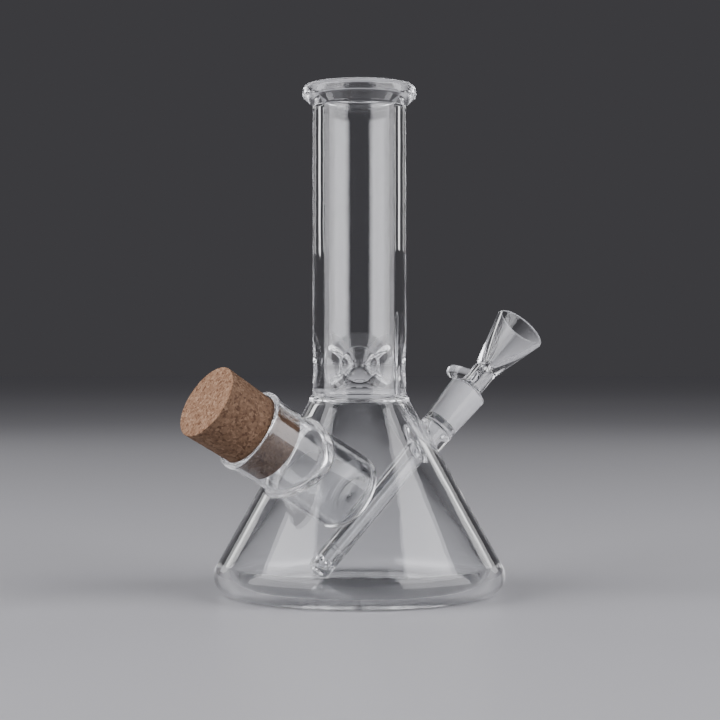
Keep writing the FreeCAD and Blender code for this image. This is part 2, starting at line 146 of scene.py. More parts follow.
SOCKET_FOOT, SOCKET_HEAD, SOCKET_RADIUS = stem_axis.span("joint_socket")
DOWNSTEM_FOOT, DOWNSTEM_HEAD, DOWNSTEM_RADIUS = stem_axis.span("downstem")
DIFFUSER_FOOT, _, _ = stem_axis.span("diffuser_tip")
STEM_FOOT, STEM_HEAD, _ = stem_axis.span("bowl_stem")
_, BOWL_RIM, BOWL_RADIUS = stem_axis.span("bowl_cone")

# glass thicknesses and roundings
WALL = 4.6
FLOOR = 4.0
SLOPE = (HEEL_FOOT_RADIUS - CONE_TOP_RADIUS) / (CONE_TOP - HEEL_TOP)
LEAN = math.atan(SLOPE)
LEVEL_WALL = WALL / math.cos(LEAN)
CORNER_RADIUS = HEEL_FOOT_RADIUS + SLOPE * HEEL_TOP
NECK_BORE = NECK_RADIUS - WALL
JAR_WALL = 1.5
JAR_BORE = JAR_RADIUS - JAR_WALL
JAR_FLOOR = 2.0
SEAL_RADIUS = 7.8
GROUND_DEEP = 20.0
GROUND_HEAD_BORE = 7.25
GROUND_FOOT_BORE = 6.25
GROUND_GAP = 0.05
DOWNSTEM_BORE = 3.5
BOWL_NECK_RADIUS = 5.5
BOWL_NECK_BORE = 3.4

BODY_TURNS = 256
JAR_TURNS = 144
STEM_TURNS = 96


# ---------------------------------------------------------------- mesh making

class Shell:
    """Collects strips and patches of one surface, with the surface's own exact normals."""

    def __init__(self):
        self.points = []
        self.normals = []
        self.faces = []
        self.slots = []
        self.count = 0

    def add(self, points, normals, faces, slot=0):
        points = np.asarray(points, float).reshape(-1, 3)
        normals = np.asarray(normals, float).reshape(-1, 3)
        faces = np.asarray(faces, int)
        corners = points[faces]
        flat = np.cross(corners[:, 1] - corners[:, 0], corners[:, 2] - corners[:, 0])
        if faces.shape[1] == 4:
            flat = flat + np.cross(corners[:, 2] - corners[:, 0], corners[:, 3] - corners[:, 0])
        wrong = (flat * normals[faces].mean(axis=1)).sum(axis=1) < 0
        faces[wrong] = faces[wrong][:, ::-1]
        self.points.append(points)
        self.normals.append(normals)
        self.faces.extend((faces + self.count).tolist())
        self.slots.extend([slot] * len(faces))
        self.count += len(points)

    def grid(self, points, normals, slot=0):
        """Rows of points that close round on themselves."""
        rows, columns = points.shape[:2]
        index = np.arange(rows * columns).reshape(rows, columns)
        after = np.roll(index, -1, axis=1)
        faces = np.stack([index[:-1], after[:-1], after[1:], index[1:]], axis=-1)
        self.add(points, normals, faces.reshape(-1, 4), slot)

    def lathe(self, axis, path, turns, slot=0):
        """A path of radius, station and normal, turned about an axis."""
        radius, station, out, along = path.T[..., None]
        turn = np.linspace(0, 2 * math.pi, turns, endpoint=False)
        points = axis.at(station + 0 * turn, radius + 0 * turn, 0 * station + turn)
        spokes = axis.outward(0 * station + turn)
        normals = out[..., None] * spokes + along[..., None] * axis.along
        self.grid(points, normals, slot)

    def build(self, name, materials):
        """The finished object: doubled vertices welded, the exact normals kept."""
        mesh = bpy.data.meshes.new(name)
        points = np.concatenate(self.points) * MM
        mesh.from_pydata(points.tolist(), [], self.faces)
        store = mesh.attributes.new("exact", "FLOAT_VECTOR", "POINT")
        store.data.foreach_set("vector", np.concatenate(self.normals).ravel())
        mesh.polygons.foreach_set("material_index", self.slots)
        weld(mesh)
        for material in materials:
            mesh.materials.append(material)
        keep = np.empty(len(mesh.vertices) * 3)
        mesh.attributes["exact"].data.foreach_get("vector", keep)
        mesh.attributes.remove(mesh.attributes["exact"])
        mesh.polygons.foreach_set("use_smooth", [True] * len(mesh.polygons))
        mesh.normals_split_custom_set_from_vertices(keep.reshape(-1, 3).tolist())
        return link(name, mesh)


WELD_DISTANCE = 2e-6


def weld(mesh):
    """Join vertices that lie together, and drop faces that this leaves with no area."""
    work = bmesh.new()
    work.from_mesh(mesh)
    bmesh.ops.remove_doubles(work, verts=work.verts, dist=WELD_DISTANCE)
    bmesh.ops.dissolve_degenerate(work, edges=work.edges, dist=WELD_DISTANCE * 0.1)
    work.to_mesh(mesh)
    work.free()


def link(name, mesh):
    piece = bpy.data.objects.new(name, mesh)
    bpy.context.scene.collection.objects.link(piece)
    return piece


def rounded(corners, step=1.0):
    """A path through corners, each a radius, a station and a rounding.

    Every row of the result is radius, station and the two parts of the normal. The glass lies to
    the left of the path and the air to the right.
    """
    corners = [tuple(corner) + (0.0,) * (3 - len(corner)) for corner in corners]
    spots = [np.array(corner[:2], float) for corner in corners]
    rows = []
    start = spots[0]
    for index in range(1, len(spots)):
        heading = unit(spots[index] - spots[index - 1])
        reach = 0.0
        rounding = corners[index][2]
        if rounding and index < len(spots) - 1:
            leaving = unit(spots[index + 1] - spots[index])
            bend = math.atan2(heading[0] * leaving[1] - heading[1] * leaving[0], heading @ leaving)
            reach = rounding * math.tan(abs(bend) / 2)
        stop = spots[index] - reach * heading
        rows += straight_rows(start, stop, heading, step)
        if reach:
            rows += arc_rows(stop, heading, bend, rounding, step)
            start = spots[index] + reach * leaving
        else:
            start = spots[index]
    return np.array(rows)


def straight_rows(start, stop, heading, step):
    count = max(1, int(math.ceil(np.linalg.norm(stop - start) / step)))
    normal = (heading[1], -heading[0])
    return [(*(start + (stop - start) * k / count), *normal) for k in range(count + 1)]


ARC_STEP = math.radians(9)


def arc_rows(start, heading, bend, rounding, step):
    """An arc that leaves a point along a heading and turns by a bend, positive to the left."""
    side = math.copysign(1.0, bend)
    to_centre = side * np.array((-heading[1], heading[0]))
    centre = start + rounding * to_centre
    count = max(2, int(math.ceil(abs(bend) / ARC_STEP)), int(abs(bend) * rounding / step))
    rows = []
    for k in range(count + 1):
        turned = bend * k / count
        spin = np.array(((math.cos(turned), -math.sin(turned)), (math.sin(turned), math.cos(turned))))
        spoke = spin @ (-to_centre)
        rows.append((*(centre + rounding * spoke), *(side * spoke)))
    return rows


def swell(path, station, rise, width):
    """Raise a smooth ridge on a path, round a station."""
    near = (path[:, 1] - station) / width
    lift = rise * np.exp(-near ** 2)
    slope = -2 * near / width * lift
    tangent = np.stack([-path[:, 3], path[:, 2]], axis=1)
    lifted = path.copy()
    lifted[:, :2] += lift[:, None] * path[:, 2:]
    # the ridge is written against the station, so its slope along the path follows the heading
    normal = path[:, 2:] - (slope * tangent[:, 1])[:, None] * tangent
    lifted[:, 2:] = normal / np.linalg.norm(normal, axis=1)[:, None]
    return lifted


class ConeSkin:
    """One side of the beaker's cone: its outside, or its inside."""

    def __init__(self, foot_radius, facing):
        self.foot_radius = foot_radius
        self.facing = facing

    def points(self, height, turn):
        return neck_axis.at(height, self.foot_radius - SLOPE * height, turn)

    def normals(self, points):
        radial = points * (1.0, 1.0, 0.0)
        radial = radial / np.linalg.norm(radial, axis=-1, keepdims=True)
        upright = np.array((0.0, 0.0, math.sin(LEAN)))
        return self.facing * (radial * math.cos(LEAN) + upright)

    def distance(self, points):
        radius = np.hypot(points[..., 0], points[..., 1])
        return self.facing * (radius - self.foot_radius + SLOPE * points[..., 2]) * math.cos(LEAN)

    def flat(self, height, turn):
        """The cone rolled out flat. Turns run from its open edge."""
        slant = (self.foot_radius / SLOPE - height) / math.cos(LEAN)
        angle = turn * math.sin(LEAN)
        return slant * np.cos(angle), slant * np.sin(angle)

    def place(self, points):
        """Height and turn of points on the skin."""
        return points[..., 2], np.arctan2(points[..., 1], points[..., 0])


class TubeSkin:
    """The outside of a tube."""

    def __init__(self, axis, radius):
        self.axis = axis
        self.radius = radius

    def points(self, station, turn):
        return self.axis.at(station, self.radius, turn)

    def normals(self, points):
        return self.axis.outward(self.axis.cylindrical(points)[2])

    def distance(self, points):
        return self.axis.cylindrical(points)[1] - self.radius

    def flat(self, station, turn):
        return self.radius * turn, station

    def place(self, points):
        station, _, turn = self.axis.cylindrical(points)
        return station, turn


def pierced(shell, skin, low, high, turns, holes, open_at, step):
    """A band of a skin between two rings, with holes in it, triangulated in the flat.

    open_at is the turn at which the band is slit to roll it out; no hole reaches it.
    """
    turn = np.linspace(0, 2 * math.pi, turns, endpoint=False)
    first = int(round((open_at % (2 * math.pi)) / (2 * math.pi) * turns))
    turn = np.append(np.roll(turn, -first), turn[first % turns])
    rolled = np.linspace(0, 2 * math.pi, turns + 1)
    count = max(2, int(round((high - low) / step)))
    heights = np.linspace(low, high, count + 1)
    cloud, flats, groups = [], [], []
    for row, height in enumerate(heights):
        points = skin.points(np.full(turns + 1, height), turn)
        across, along = skin.flat(height, rolled)
        across, along = np.broadcast_arrays(across, along)
        group = {0: "low", count: "high"}.get(row, "")
        for column in range(turns + 1):
            edge = group or ("slit" if column in (0, turns) else "")
            cloud.append(points[column])
            flats.append((across[column], along[column]))
            groups.append(edge)
    flats = np.array(flats)
    rims = []
    for hole in holes:
        height, around = skin.place(hole)
        around = (around - first * 2 * math.pi / turns) % (2 * math.pi)
        rims.append(np.stack(np.broadcast_arrays(*skin.flat(height, around)), axis=1))
    keep = [bool(group) for group in groups]
    keep = np.array(keep) | ~near_any(flats, rims, step * 0.45)
    cloud = [point for point, kept in zip(cloud, keep) if kept]
    groups = [group for group, kept in zip(groups, keep) if kept]
    flats = flats[keep].tolist()
    edges = []
    for index, (hole, rim) in enumerate(zip(holes, rims)):
        start = len(cloud)
        cloud.extend(hole)
        flats.extend(rim.tolist())
        groups.extend([f"hole{index}"] * len(rim))
        edges += [(start + k, start + (k + 1) % len(rim)) for k in range(len(rim))]
    result = delaunay_2d_cdt([Vector(flat) for flat in flats], edges, [], 0, 1e-9)
    source = [origins[0] for origins in result[3]]
    faces = []
    for face in result[2]:
        triangle = [source[corner] for corner in face]
        kinds = {groups[corner] for corner in triangle}
        if len(kinds) == 1 and kinds != {""}:
            continue
        faces.append(triangle)
    cloud = np.array(cloud)
    shell.add(cloud, skin.normals(cloud), faces)


def near_any(flats, rims, clearance):
    """Which flat points lie inside a rim, or within a clearance of it."""
    found = np.zeros(len(flats), bool)
    for rim in rims:
        centre = rim.mean(axis=0)
        reach = np.linalg.norm(rim - centre, axis=1)
        angle = np.arctan2(*(rim - centre).T[::-1])
        order = np.argsort(angle)
        offset = flats - centre
        own = np.arctan2(offset[:, 1], offset[:, 0])
        limit = np.interp(own, angle[order], reach[order], period=2 * math.pi)
        found |= np.linalg.norm(offset, axis=1) < limit + clearance
    return found


ROLL_SEARCH_STEPS = 50
ROLL_ROWS = 10


def rolled_seal(axis, radius, ball, skin, low, high, turns):
    """The hollow left by a ball rolled in the corner between a tube and a skin.

    Returns rows of points and normals, from the tube to the skin, and the tube station of the
    first row. low and high are stations between which the ball first touches the skin.
    """
    turn = np.linspace(0, 2 * math.pi, turns, endpoint=False)
    near = np.full(turns, float(low))
    far = np.full(turns, float(high))
    for _ in range(ROLL_SEARCH_STEPS):
        middle = (near + far) / 2
        clear = skin.distance(axis.at(middle, radius + ball, turn)) > ball
        far = np.where(clear, middle, far)
        near = np.where(clear, near, middle)
    centre = axis.at(far, radius + ball, turn)
    on_tube = -axis.outward(turn)
    on_skin = -skin.normals(centre)
    bend = np.arccos(np.clip((on_tube * on_skin).sum(axis=1), -1, 1))[:, None]
    rows, normals = [], []
    for k in range(ROLL_ROWS + 1):
        share = k / ROLL_ROWS
        spoke = np.sin((1 - share) * bend) * on_tube + np.sin(share * bend) * on_skin
        spoke = spoke / np.sin(bend)
        rows.append(centre + ball * spoke)
        normals.append(-spoke)
    return np.array(rows), np.array(normals), far


def tube_rows(shell, axis, radius, start, stop, turns, step, bulges=()):
    """A tube's outside between two edges, either of which may rise and fall with the turn."""
    turn = np.linspace(0, 2 * math.pi, turns, endpoint=False)
    start = np.broadcast_to(start, turn.shape)
    stop = np.broadcast_to(stop, turn.shape)
    count = max(1, int(math.ceil(np.abs(stop - start).max() / step)))
    share = np.linspace(0, 1, count + 1)[:, None]
    station = start + share * (stop - start)
    lift = 0 * station
    slope = 0 * station
    for middle, rise, width in bulges:
        near = (station - middle) / width
        bump = rise * np.exp(-near ** 2)
        lift = lift + bump
        slope = slope - 2 * near / width * bump
    around = 0 * station + turn
    normals = axis.outward(around) - slope[..., None] * axis.along
    normals = normals / np.linalg.norm(normals, axis=-1, keepdims=True)
    shell.grid(axis.at(station, radius + lift, around), normals)


# ---------------------------------------------------------------- materials

def new_material(name):
    material = bpy.data.materials.new(name)
    material.use_nodes = True
    nodes = material.node_tree.nodes
    nodes.clear()
    output = nodes.new("ShaderNodeOutputMaterial")
    shader = nodes.new("ShaderNodeBsdfPrincipled")
    material.node_tree.links.new(shader.outputs["BSDF"], output.inputs["Surface"])
    return material, shader


def add_node(material, kind, **inputs):
    node = material.node_tree.nodes.new(kind)
    for name, value in inputs.items():
        node.inputs[name.replace("_", " ")].default_value = value
    return node


def join(material, source, target):
    material.node_tree.links.new(source, target)


def noise_of(material, scale, detail=2.0, roughness=0.5):
    """Noise that is fixed to the object."""
    place = add_node(material, "ShaderNodeTexCoord")
    grain = add_node(material, "ShaderNodeTexNoise", Scale=scale, Detail=detail, Roughness=roughness)
    join(material, place.outputs["Object"], grain.inputs["Vector"])
    return grain.outputs["Fac"]


def remap(material, source, low, high, to_low, to_high):
    change = add_node(material, "ShaderNodeMapRange")
    for index, value in zip((1, 2, 3, 4), (low, high, to_low, to_high)):
        change.inputs[index].default_value = value
    join(material, source, change.inputs[0])
    return change.outputs[0]


def bump(material, shader, height, strength, distance):
    node = add_node(material, "ShaderNodeBump", Strength=strength, Distance=distance)
    join(material, height, node.inputs["Height"])
    join(material, node.outputs["Normal"], shader.inputs["Normal"])


def ramp(material, source, stops):
    node = add_node(material, "ShaderNodeValToRGB")
    elements = node.color_ramp.elements
    while len(elements) < len(stops):
        elements.new(0.5)
    for element, (position, colour) in zip(elements, stops):
        element.position = position
        element.color = (*colour, 1.0)
    join(material, source, node.inputs["Fac"])
    return node.outputs["Color"]


GLASS_IOR = 1.474


def clear_glass():
    """Fire-polished borosilicate: slow ripples from the lathe and a trace of handling haze."""
    material, shader = new_material("clear_glass")
    shader.inputs["Base Color"].default_value = (0.985, 0.99, 0.995, 1.0)
    shader.inputs["IOR"].default_value = GLASS_IOR
    shader.inputs["Transmission Weight"].default_value = 1.0
    haze = noise_of(material, 38.0, 3.0)
    join(material, remap(material, haze, 0.55, 0.8, 0.0, 0.045), shader.inputs["Roughness"])
    bump(material, shader, noise_of(material, 55.0, 1.0), 0.05, 0.002)
    return material


def ground_glass():
    """A ground taper: white, matt and lit from within."""
    material, shader = new_material("ground_glass")
    tone = noise_of(material, 900.0, 3.0, 0.7)
    white = ramp(material, tone, [(0.3, (0.93, 0.93, 0.96)), (0.7, (0.99, 0.99, 1.0))])
    join(material, white, shader.inputs["Base Color"])
    shader.inputs["IOR"].default_value = GLASS_IOR
    shader.inputs["Transmission Weight"].default_value = 0.08
    join(material, remap(material, tone, 0.3, 0.7, 0.55, 0.8), shader.inputs["Roughness"])
    bump(material, shader, tone, 0.3, 0.0002)
    return material


def cork(name, tone):
    """Pressed cork granules in browns, with dark bark flecks."""
    material, shader = new_material(name)
    place = add_node(material, "ShaderNodeTexCoord")
    warp = add_node(material, "ShaderNodeTexNoise", Scale=220.0, Detail=3.0)
    join(material, place.outputs["Object"], warp.inputs["Vector"])
    shift = add_node(material, "ShaderNodeVectorMath")
    shift.operation = "MULTIPLY_ADD"
    shift.inputs[1].default_value = (0.003, 0.003, 0.003)
    join(material, warp.outputs["Color"], shift.inputs[0])
    join(material, place.outputs["Object"], shift.inputs[2])
    cells = add_node(material, "ShaderNodeTexVoronoi", Scale=900.0)
    join(material, shift.outputs[0], cells.inputs["Vector"])
    split = add_node(material, "ShaderNodeSeparateColor")
    join(material, cells.outputs["Color"], split.inputs["Color"])
    browns = [(0.0, (0.16, 0.080, 0.045)), (0.25, (0.26, 0.145, 0.085)), (0.75, (0.33, 0.195, 0.118)),
              (1.0, (0.42, 0.26, 0.165))]
    # a tone below one darkens every brown; on the side's copy this is painted shade as well as the cork's own
    # darker side
    toned = [(position, tuple(tone * part for part in colour)) for position, colour in browns]
    granules = ramp(material, split.outputs["Red"], toned)
    flecks = noise_of(material, 1100.0, 4.0, 0.65)
    dark = remap(material, flecks, 0.60, 0.68, 0.0, 0.8)
    mix = add_node(material, "ShaderNodeMix")
    mix.data_type = "RGBA"
    mix.inputs[7].default_value = (0.07, 0.03, 0.015, 1.0)
    join(material, dark, mix.inputs[0])
    join(material, granules, mix.inputs[6])
    join(material, mix.outputs[2], shader.inputs["Base Color"])
    join(material, remap(material, flecks, 0.3, 0.7, 0.7, 0.95), shader.inputs["Roughness"])
    shader.inputs["Specular IOR Level"].default_value = 0.25
    bump(material, shader, flecks, 0.6, 0.0006)
    return material


CLEAR = clear_glass()
GROUND = ground_glass()
# the side is a darker copy of the end's cork: partly the cork's own darker side, partly painted shade for the side
# turned away from the light
SIDE_TONE_AND_PAINTED_SHADE = 0.48
CORK_SIDE_WITH_PAINTED_SHADE = cork("cork_side_with_painted_shade", SIDE_TONE_AND_PAINTED_SHADE)
CORK_END = cork("cork_end", 1.0)


# ---------------------------------------------------------------- the glass body

outer_cone = ConeSkin(CORNER_RADIUS, 1)
inner_cone = ConeSkin(CORNER_RADIUS - LEVEL_WALL, -1)
floor_radius = CORNER_RADIUS - LEVEL_WALL - SLOPE * FLOOR
band_inner_foot = HEEL_FOOT_RADIUS - LEVEL_WALL

# balls rolled round the tubes that pass through the cone, and where along each tube they touch it
JAR_SEAL_BALL = 2.6
STEM_SEAL_BALL = 2.8
JAR_INSIDE_BALL = 1.0
STEM_INSIDE_BALL = 0.9
JAR_SEARCH = (20.0, 62.0)
STEM_SEARCH = (36.0, 58.0)

jar_outside, jar_outside_normals, jar_leaves = rolled_seal(
    jar_axis, JAR_RADIUS, JAR_SEAL_BALL, outer_cone, *JAR_SEARCH, JAR_TURNS)
stem_outside, stem_outside_normals, socket_leaves = rolled_seal(
    stem_axis, SEAL_RADIUS, STEM_SEAL_BALL, outer_cone, *STEM_SEARCH, STEM_TURNS)


class Backwards(Axis):
    """An axis seen from its far end, for seals that close towards the cone from inside."""

    def __init__(self, axis, station):
        super().__init__(axis.origin + station * axis.along, -axis.along, axis.side)
        self.over = axis.over


INSIDE_FROM = 70.0
JAR_INSIDE_SEARCH = (8.0, 58.0)
STEM_INSIDE_SEARCH = (10.0, 60.0)
jar_inside, jar_inside_normals, jar_enters = rolled_seal(
    Backwards(jar_axis, INSIDE_FROM), JAR_RADIUS, JAR_INSIDE_BALL, inner_cone,
    *JAR_INSIDE_SEARCH, JAR_TURNS)
stem_inside, stem_inside_normals, stem_enters = rolled_seal(
    Backwards(stem_axis, INSIDE_FROM), DOWNSTEM_RADIUS, STEM_INSIDE_BALL, inner_cone,
    *STEM_INSIDE_SEARCH, STEM_TURNS)
jar_enters = INSIDE_FROM - jar_enters
stem_enters = INSIDE_FROM - stem_enters


def make_beaker_base():
    shell = Shell()
    punt = [(0, 0.6), (30, 0.6, 150), (50, 0, 150)]
    outside = rounded(punt + [(CORNER_RADIUS, 0, 9.0), (HEEL_FOOT_RADIUS, HEEL_TOP)], 1.5)
    inside = rounded([(band_inner_foot, HEEL_TOP), (floor_radius, FLOOR, 6.0), (0, FLOOR)], 1.5)
    shell.lathe(neck_axis, outside, BODY_TURNS)
    shell.lathe(neck_axis, inside, BODY_TURNS)
    return shell.build("beaker_base_glass", [CLEAR])


# the cone is slit to roll it out where neither the jar nor the joint passes through it
SLIT_TURN = math.radians(120)
CONE_STEP = 1.5


def make_beaker_wall():
    shell = Shell()
    pierced(shell, outer_cone, HEEL_TOP, CONE_TOP, BODY_TURNS,
            [jar_outside[-1], stem_outside[-1]], SLIT_TURN, CONE_STEP)
    pierced(shell, inner_cone, HEEL_TOP, CONE_TOP, BODY_TURNS,
            [jar_inside[-1], stem_inside[-1]], SLIT_TURN, CONE_STEP)
    return shell.build("beaker_wall_glass", [CLEAR])


def make_neck_seal():
    shell = Shell()
    meet = CONE_TOP + (CONE_TOP_RADIUS - NECK_RADIUS) / SLOPE
    inner_top = CONE_TOP_RADIUS - LEVEL_WALL
    inner_meet = CONE_TOP + (inner_top - NECK_BORE) / SLOPE
    outside = rounded([(CONE_TOP_RADIUS, CONE_TOP), (NECK_RADIUS, meet, 11.0), (NECK_RADIUS, NECK_FOOT)],
                      0.25)
    inside = rounded([(NECK_BORE, NECK_FOOT), (NECK_BORE, inner_meet, 11.0), (inner_top, CONE_TOP)], 0.25)
    shell.lathe(neck_axis, swell(outside, 88.3, 0.45, 0.9), BODY_TURNS)
    shell.lathe(neck_axis, swell(inside, 87.6, 0.5, 1.1), BODY_TURNS)
    return shell.build("neck_seal_glass", [CLEAR])


PINCH_TURNS = [math.radians(270 + 120 * index) for index in range(3)]
PINCH_HEIGHT = 103.2
PINCH_TOP = top_of("ice_pinch_section")


def pinched(height, turn, radius, nose, reach, dent, spread):
    """A point of the neck, pushed in along each pinch: a shallow dent round a deep nose."""
    points = neck_axis.at(height, radius, turn)
    for aim in PINCH_TURNS:
        spoke = np.array((math.cos(aim), math.sin(aim), 0.0))
        across = points @ np.array((-math.sin(aim), math.cos(aim), 0.0))
        facing = points @ spoke > 0
        away = np.hypot(across, height - PINCH_HEIGHT)
        push = nose * falling(away / reach) ** 0.8 + dent * falling(away / spread)
        points = points - (push * facing)[..., None] * spoke
    return points


def falling(share):
    """One at nought, easing down to nothing at one."""
    return 0.5 + 0.5 * np.cos(math.pi * np.minimum(share, 1))


PINCH_ROWS = 72
TINY = 1e-4
# depth of the nose, its reach, depth of the dent round it and the dent's spread
OUTER_PUSH = (8.6, 8.0, 4.4, 14.6)
INNER_PUSH = (6.8, 9.0, 4.0, 14.6)


def pinch_skin(shell, radius, push, facing, turns):
    rows = np.linspace(NECK_FOOT, PINCH_TOP, PINCH_ROWS)
    turn = np.linspace(0, 2 * math.pi, turns, endpoint=False)
    height, around = np.meshgrid(rows, turn, indexing="ij")
    points = pinched(height, around, radius, *push)
    along = pinched(height + TINY, around, radius, *push) - points
    across = pinched(height, around + TINY / radius, radius, *push) - points
    normals = facing * np.cross(across, along)
    normals = normals / np.linalg.norm(normals, axis=-1, keepdims=True)
    shell.grid(points, normals)


def make_ice_pinches():
    shell = Shell()
    pinch_skin(shell, NECK_RADIUS, OUTER_PUSH, 1, BODY_TURNS)
    pinch_skin(shell, NECK_BORE, INNER_PUSH, -1, BODY_TURNS)
    return shell.build("ice_pinch_glass", [CLEAR])


def make_neck_tube():
    shell = Shell()
    shell.lathe(neck_axis, rounded([(NECK_RADIUS, PINCH_TOP), (NECK_RADIUS, NECK_HEAD)], 4.0), BODY_TURNS)
    shell.lathe(neck_axis, rounded([(NECK_BORE, NECK_HEAD), (NECK_BORE, PINCH_TOP)], 4.0), BODY_TURNS)
    return shell.build("neck_tube_glass", [CLEAR])


def make_lip():
    shell = Shell()
    outline = [
        (NECK_RADIUS, NECK_HEAD),
        (NECK_RADIUS, NECK_HEAD + 0.5, 0.5),
        (LIP_RADIUS + 0.2, LIP_TOP - 4.9, 2.2),
        (LIP_RADIUS - 0.3, LIP_TOP + 0.7, 3.2),
        (NECK_BORE + 3.6, LIP_TOP + 0.7, 2.0),
        (NECK_BORE, NECK_HEAD + 3.2, 3.5),
        (NECK_BORE, NECK_HEAD),
    ]
    shell.lathe(neck_axis, rounded(outline, 0.3), BODY_TURNS)
    return shell.build("mouthpiece_lip_glass", [CLEAR])


def make_jar():
    shell = Shell()
    tube_rows(shell, jar_axis, JAR_RADIUS, jar_leaves, JAR_HEAD, JAR_TURNS, 1.5)
    rounding = 5.0
    bottom_top = JAR_FOOT + rounding + 0.5
    tube_rows(shell, jar_axis, JAR_RADIUS, bottom_top, jar_enters, JAR_TURNS, 1.5)
    outside = [(0, JAR_FOOT + 0.9), (4.0, JAR_FOOT + 0.7, 12.0), (10.0, JAR_FOOT, 14.0),
               (JAR_RADIUS, JAR_FOOT, rounding), (JAR_RADIUS, bottom_top)]
    floor = JAR_FOOT + JAR_FLOOR
    inside = [(JAR_BORE, JAR_HEAD), (JAR_BORE, floor, 4.2), (8.0, floor, 14.0), (0, floor + 0.9)]
    shell.lathe(jar_axis, rounded(outside, 0.6), JAR_TURNS)
    shell.lathe(jar_axis, rounded(inside, 0.6), JAR_TURNS)
    return shell.build("storage_jar_glass", [CLEAR])


def make_jar_bead():
    shell = Shell()
    outline = [
        (JAR_RADIUS, JAR_HEAD),
        (BEAD_RADIUS, JAR_HEAD + 0.7, 0.6),
        (BEAD_RADIUS, BEAD_HEAD, 1.2),
        (JAR_BORE, BEAD_HEAD, 0.8),
        (JAR_BORE, JAR_HEAD),
    ]
    shell.lathe(jar_axis, rounded(outline, 0.3), JAR_TURNS)
    return shell.build("jar_mouth_bead_glass", [CLEAR])


def make_jar_seal():
    shell = Shell()
    shell.grid(jar_outside, jar_outside_normals)
    shell.grid(jar_inside, jar_inside_normals)
    return shell.build("jar_seal_glass", [CLEAR])


def make_socket():
    shell = Shell()
    outline = [
        (SEAL_RADIUS, SOCKET_FOOT),
        (SOCKET_RADIUS, SOCKET_HEAD, 0.7),
        (GROUND_HEAD_BORE, SOCKET_HEAD, 0.4),
    ]
    ground_head = SOCKET_HEAD - 0.5
    ground_foot = SOCKET_HEAD - GROUND_DEEP
    taper = (GROUND_HEAD_BORE - GROUND_FOOT_BORE) / GROUND_DEEP
    bore_head = GROUND_HEAD_BORE - taper * 0.5
    shell.lathe(stem_axis, rounded(outline + [(bore_head, ground_head)], 0.6), STEM_TURNS)
    shell.lathe(stem_axis, rounded([(bore_head, ground_head), (GROUND_FOOT_BORE, ground_foot)], 1.0),
                STEM_TURNS, 1)
    shell.lathe(stem_axis, rounded([(GROUND_FOOT_BORE, ground_foot), (GROUND_FOOT_BORE, SOCKET_FOOT)], 1.0),
                STEM_TURNS)
    return shell.build("joint_socket_glass", [CLEAR, GROUND])


# the weld under the socket: where it is, how far it stands out and its width
WELD_RING = (SOCKET_FOOT - 1.6, 0.4, 0.65)


def make_socket_seal():
    shell = Shell()
    shell.grid(stem_outside, stem_outside_normals)
    tube_rows(shell, stem_axis, SEAL_RADIUS, socket_leaves, SOCKET_FOOT, STEM_TURNS, 0.25,
              [WELD_RING])
    shell.grid(stem_inside, stem_inside_normals)
    throat = [
        (GROUND_FOOT_BORE, SOCKET_FOOT),
        (GROUND_FOOT_BORE, SOCKET_FOOT - 1.5, 2.0),
        (DOWNSTEM_BORE, SOCKET_FOOT - 5.0, 2.0),
        (DOWNSTEM_BORE, DOWNSTEM_HEAD),
    ]
    shell.lathe(stem_axis, rounded(throat, 0.5), STEM_TURNS)
    return shell.build("socket_seal_glass", [CLEAR])


def make_downstem():
    shell = Shell()
    tube_rows(shell, stem_axis, DOWNSTEM_RADIUS, DOWNSTEM_FOOT, stem_enters, STEM_TURNS, 1.5)
    shell.lathe(stem_axis, rounded([(DOWNSTEM_BORE, DOWNSTEM_HEAD), (DOWNSTEM_BORE, DOWNSTEM_FOOT)], 2.0),
                STEM_TURNS)
    return shell.build("downstem_glass", [CLEAR])


VENT_COUNT = 6
DRILL_SIDES = 28
VENT_RADIUS = 1.3
VENT_STATION = DIFFUSER_FOOT + 6.0
DIFFUSER_ROUND = 3.0
SHARP_ANGLE = math.radians(35)


